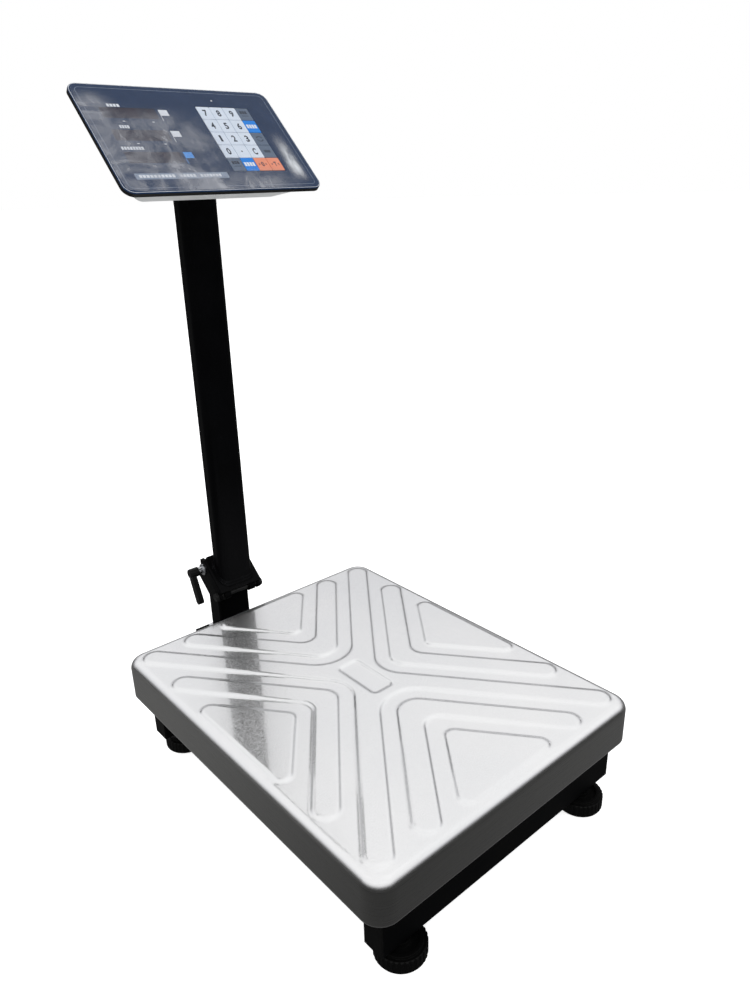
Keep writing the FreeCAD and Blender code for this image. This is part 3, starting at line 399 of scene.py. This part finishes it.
def make_border():
    bm = bmesh.new()
    add_ring(bm, rounded_rect(124.2, 76.8, 6.2), rounded_rect(123.8, 76.4, 5.8), PANEL_FACE_W)
    bm.transform(FACE)
    add_mesh("face_border_line", bm, "ink_pale", "head")
    # The white ring round the panel's rim is a painted highlight along its edge.
    bm = bmesh.new()
    half_u, half_v = PANEL_HALF_U - EDGE_ROUNDING, PANEL_HALF_V - EDGE_ROUNDING
    radius = PANEL_CORNER - EDGE_ROUNDING
    add_ring(bm, rounded_rect(half_u, half_v, radius),
             rounded_rect(half_u - EDGE_SHINE_W, half_v - EDGE_SHINE_W, radius - EDGE_SHINE_W),
             PANEL_FACE_W)
    bm.transform(FACE)
    add_mesh("panel_edge_shine", bm, "ink_white", "head")


def make_unit_flags():
    """Small flags that point at the three windows, each with a blank tag."""
    for i, (v, look) in enumerate(((44.4, "ink_white"), (10.4, "ink_white"), (-23.1, "ink_blue"))):
        flag = box_ring(-36.5, -25.2, v - 9.4, v)
        pole = box_ring(-36.9, -36.3, v - 18.2, v - 9.2)
        face_print("unit_flag_%d" % (i + 1), [flag, pole], look)


def block_word(u0, u1, v0, v1, count):
    """Row of plain blocks that stands for a printed caption."""
    pitch = (u1 - u0) / count
    gap = 0.22 * pitch
    return [box_ring(u0 + i * pitch, u0 + (i + 1) * pitch - gap, v0, v1) for i in range(count)]


def make_captions():
    rings = block_word(-96.7, -80.9, 47.0, 51.6, 4)
    rings += block_word(-95.7, -83.5, 13.4, 18.2, 4)
    rings += block_word(-108.0, -80.8, -19.8, -15.0, 8)
    face_print("window_captions", rings, "ink_white")
    marks = [box_ring(u - 1.4, u + 1.4, v - 0.5, v + 0.5)
             for u, v in ((-86.6, 24.4), (-50.7, 24.1), (-84.7, -10.3), (-51.6, -10.6))]
    face_print("window_marks", marks, "ink_white")


def make_rating_strip():
    face_print("rating_strip", [rounded_rect(58.0, 4.5, 0.8, -52.5, -59.5)], "ink_pale")
    rings = block_word(-106.0, -62.0, -61.6, -57.4, 10) + block_word(-57.0, -36.0, -61.6, -57.4, 5)
    rings += block_word(-31.0, -3.0, -61.6, -57.4, 7)
    face_print("rating_strip_blocks", rings, "ink_white", w=PANEL_FACE_W + PRINT_T)


def make_light_dot():
    ring = [(44.8 + 1.1 * math.cos(a), 63.8 + 1.1 * math.sin(a))
            for a in (math.radians(15 * i) for i in range(24))]
    face_print("sensor_dot", [ring], "ink_white")


def make_face_film():
    """Clear sheet over the whole face, lifted in shallow wrinkles."""
    columns, rows = 96, 64
    half_u, half_v = PANEL_HALF_U - FILM_MARGIN_U, PANEL_HALF_V - FILM_MARGIN_V
    bm = bmesh.new()
    uv = bm.loops.layers.uv.new("film")
    grid = []
    for j in range(rows + 1):
        for i in range(columns + 1):
            x, y = 2 * i / columns - 1, 2 * j / rows - 1
            pull = FILM_CORNER_PULL * (x * y) ** 8
            u, v = x * (half_u - pull), y * (half_v - pull)
            grid.append(bm.verts.new((u, v, film_height(u, v))))
    for j in range(rows):
        for i in range(columns):
            k = j * (columns + 1) + i
            corners = (k, k + 1, k + columns + 2, k + columns + 1)
            face = bm.faces.new([grid[c] for c in corners])
            for loop in face.loops:
                x, y, _ = loop.vert.co
                loop[uv].uv = (x / half_u / 2 + 0.5, y / half_v / 2 + 0.5)
    bm.transform(FACE)
    add_mesh("face_film", bm, "face_film", "head", smooth=True)


def film_height(u, v):
    """Film lies close over the keys and ripples towards the lower edge."""
    low = max(0.0, min(1.0, (-v - 40.0) / 30.0))
    side = max(0.0, min(1.0, (u - 85.0) / 25.0))
    ripple = math.sin(0.11 * u + 0.35 * v) + 0.6 * math.sin(0.23 * u - 0.19 * v + 1.3)
    return 0.28 + 0.08 * ripple * (0.25 + low + 0.7 * side)


# ---------------------------------------------------------------- key legends

def key_middle(key):
    low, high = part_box(key)
    return FACE.inverted() @ ((low + high) / 2)


def text_mesh(text, width, height, bold=0.03):
    """Text as a flat closed mesh, centred and fitted to width by height."""
    curve = bpy.data.curves.new("letter", "FONT")
    curve.body = text
    curve.offset = bold
    curve.extrude = 0.5
    curve.resolution_u = 6
    carrier = bpy.data.objects.new("letter", curve)
    bpy.context.scene.collection.objects.link(carrier)
    bpy.context.view_layer.update()
    mesh = bpy.data.meshes.new_from_object(carrier.evaluated_get(
        bpy.context.evaluated_depsgraph_get()))
    bpy.data.objects.remove(carrier)
    xs = [p.co.x for p in mesh.vertices]
    ys = [p.co.y for p in mesh.vertices]
    mid = Vector(((min(xs) + max(xs)) / 2, (min(ys) + max(ys)) / 2, -0.5))
    fit = Matrix.Diagonal((width / (max(xs) - min(xs)), height / (max(ys) - min(ys)), PRINT_T, 1))
    mesh.transform(fit @ Matrix.Translation(-mid))
    return mesh


def legend_text(key, parts, look):
    """Legend on one key from (text, du, dv, width, height) parts."""
    middle = key_middle(key)
    bm = bmesh.new()
    for text, du, dv, width, height in parts:
        mesh = text_mesh(text, width, height)
        mesh.transform(Matrix.Translation((middle.x + du, middle.y + dv, KEY_TOP_W)))
        bm.from_mesh(mesh)
        bpy.data.meshes.remove(mesh)
    bm.transform(FACE)
    return add_mesh("legend_" + key, bm, look, key + "_cap")


def legend_shapes(key, rings, look):
    middle = key_middle(key)
    moved = [[(middle.x + u, middle.y + v) for u, v in ring] for ring in rings]
    return face_print("legend_" + key, moved, look, key + "_cap", KEY_TOP_W)


def arc_ring(radius, start, sweep, half, steps=14):
    turns = [math.radians(start + sweep * i / steps) for i in range(steps + 1)]
    outer = [((radius + half) * math.cos(t), (radius + half) * math.sin(t)) for t in turns]
    inner = [((radius - half) * math.cos(t), (radius - half) * math.sin(t)) for t in turns]
    return outer + inner[::-1]


def arrow_head(u, v, direction, size):
    c, s = math.cos(direction), math.sin(direction)
    local = ((size, 0), (-size * 0.6, size * 0.9), (-size * 0.6, -size * 0.9))
    return [(u + x * c - y * s, v + x * s + y * c) for x, y in local]


def make_legends():
    for digit in "0123456789":
        width = 3.0 if digit == "1" else 5.2
        legend_text("key_" + digit, [(digit, 0, 0, width, 10.5)], "ink_dark")
    legend_text("key_clear", [("C", 0, 0, 5.4, 10.5)], "ink_dark")
    dot = [(1.1 * math.cos(a), 1.1 * math.sin(a))
           for a in (math.radians(20 * i) for i in range(18))]
    legend_shapes("key_point", [dot], "ink_dark")
    for key in ("key_memory_up", "key_memory_down"):
        bars = block_word(-5.2, 5.2, 0.4, 5.4, 3) + [box_ring(-5.0, 5.0, -3.4, -2.6)]
        legend_shapes(key, bars, "ink_dark")
    for key in ("key_sum", "key_mode"):
        legend_shapes(key, block_word(-7.6, 7.6, -3.1, 3.1, 4), "ink_white")
    loop = [arc_ring(4.0, 15, 130, 0.5), arc_ring(4.0, 195, 130, 0.5),
            arrow_head(4.0 * math.cos(2.62), 4.0 * math.sin(2.62), 4.1, 1.4),
            arrow_head(4.0 * math.cos(5.76), 4.0 * math.sin(5.76), 0.96, 1.4)]
    legend_shapes("key_recall", loop, "ink_dark")
    legend_shapes("key_light", block_word(-4.6, 4.6, -2.0, 2.0, 4), "ink_dark")
    for key, letter in (("key_zero", "0"), ("key_tare", "T")):
        parts = [(letter, 0, 0, 3.6, 7.2), (">", -4.6, 0, 2.2, 3.0), ("<", 4.6, 0, 2.2, 3.0)]
        legend_text(key, parts, "ink_dark")


def make_face():
    make_border()
    make_unit_flags()
    make_captions()
    make_rating_strip()
    make_light_dot()
    make_legends()
    make_face_film()


# ---------------------------------------------------------------- studio

def make_camera():
    yaw, pitch, roll = 0.710785, 0.387113, -0.0257672
    forward = Vector((math.sin(yaw) * math.cos(pitch), math.cos(yaw) * math.cos(pitch),
                      -math.sin(pitch)))
    level = Vector((math.cos(yaw), -math.sin(yaw), 0))
    upright = level.cross(forward)
    right = level * math.cos(roll) + upright * math.sin(roll)
    up = upright * math.cos(roll) - level * math.sin(roll)
    data = bpy.data.cameras.new("camera")
    data.lens = 28.366
    data.sensor_width = 36.0
    data.clip_end = 100.0
    camera = bpy.data.objects.new("camera", data)
    bpy.context.scene.collection.objects.link(camera)
    camera.matrix_world = Matrix.Translation((-0.52187, -0.69002, 0.71158)) @ Matrix(
        (right, up, -forward)).transposed().to_4x4()
    bpy.context.scene.camera = camera


def make_softbox(name, place, target, width, height, watts, tint=(1, 1, 1)):
    data = bpy.data.lights.new(name, "AREA")
    data.shape = "RECTANGLE"
    data.size, data.size_y = width, height
    data.energy = watts
    data.color = tint
    light = bpy.data.objects.new(name, data)
    light.visible_glossy = False
    bpy.context.scene.collection.objects.link(light)
    aim = Vector(target) - Vector(place)
    turn = aim.to_track_quat("-Z", "Y").to_matrix().to_4x4()
    light.matrix_world = Matrix.Translation(place) @ turn


def make_lights():
    middle = (0, 0, 0.3)
    make_softbox("key_light", (-1.7, -1.5, 2.4), middle, 1.4, 1.4, 26)
    make_softbox("back_light", (1.3, 2.6, 1.6), middle, 2.4, 1.0, 22, (0.96, 0.98, 1.0))
    make_softbox("side_light", (2.3, -0.9, 1.1), middle, 0.9, 1.5, 9)


def make_world():
    """Pale studio walls: white to the eye, shaded towards the floor in reflections."""
    world = bpy.data.worlds.new("studio")
    bpy.context.scene.world = world
    world.use_nodes = True
    tree = world.node_tree
    link = tree.links.new

    def node(kind):
        return tree.nodes.new("ShaderNode" + kind)

    background = tree.nodes["Background"]
    where = node("TexCoord").outputs["Generated"]
    height = node("SeparateXYZ")
    link(where, height.inputs[0])
    ramp = node("ValToRGB")
    link(height.outputs[2], ramp.inputs[0])
    stops = ramp.color_ramp.elements
    stops[0].position, stops[0].color = 0.0, grey(0.03)
    stops[1].position, stops[1].color = 1.0, grey(1.0)
    for place, level in ((0.14, 0.07), (0.26, 0.36), (0.38, 0.68), (0.47, 0.86), (0.58, 1.0)):
        stops.new(place).color = (level, level, min(1.0, level * 1.02), 1)
    clouds = node("TexNoise")
    link(where, clouds.inputs["Vector"])
    clouds.inputs["Scale"].default_value = 2.6
    clouds.inputs["Detail"].default_value = 3.0
    shade = node("MapRange")
    link(clouds.outputs[0], shade.inputs[0])
    for name, value in (("From Min", 0.35), ("From Max", 0.65), ("To Min", 0.90), ("To Max", 1.03)):
        shade.inputs[name].default_value = value
    scaled = node("VectorMath")
    scaled.operation = "SCALE"
    link(ramp.outputs[0], scaled.inputs[0])
    link(shade.outputs[0], scaled.inputs["Scale"])
    path = node("LightPath")
    choose = node("Mix")
    choose.data_type = "RGBA"
    link(path.outputs["Is Glossy Ray"], choose.inputs[0])
    sky = node("Mix")
    sky.data_type = "RGBA"
    link(path.outputs["Is Camera Ray"], sky.inputs[0])
    sky.inputs[6].default_value = grey(0.62)
    sky.inputs[7].default_value = grey(1.0)
    link(sky.outputs[2], choose.inputs[6])
    link(scaled.outputs[0], choose.inputs[7])
    link(choose.outputs[2], background.inputs["Color"])


def make_floor():
    """Plain pale floor that reads darker where glossy faces mirror it."""
    bm = bmesh.new()
    bmesh.ops.create_circle(bm, cap_ends=True, segments=96, radius=30.0)
    mesh = bpy.data.meshes.new("studio_floor")
    bm.to_mesh(mesh)
    bm.free()
    floor = bpy.data.objects.new("studio_floor", mesh)
    bpy.context.scene.collection.objects.link(floor)
    look = Look("studio_floor", Roughness=0.9, Specular_IOR_Level=0.1)
    path = look.node("LightPath")
    seen, mirrored = path.outputs["Is Camera Ray"], path.outputs["Is Glossy Ray"]
    run = look.math("ADD", look.math("MULTIPLY", look.part(look.point, 0), 0.6),
                    look.part(look.point, 1))
    dim = look.span(run, -0.6, 0.1, 0.05, 0.17)
    look.set(Base_Color=look.mix(mirrored, grey(0.92), grey(0.0)),
             Emission_Color=grey(1.0),
             Emission_Strength=look.math("ADD", look.math("MULTIPLY", seen, 0.75),
                                         look.math("MULTIPLY", mirrored, dim)))
    mesh.materials.append(look.material)


def main():
    bpy.context.scene.view_settings.view_transform = "Standard"
    make_camera()
    make_world()
    make_floor()
    make_lights()
    paint_cad()
    make_face()


main()
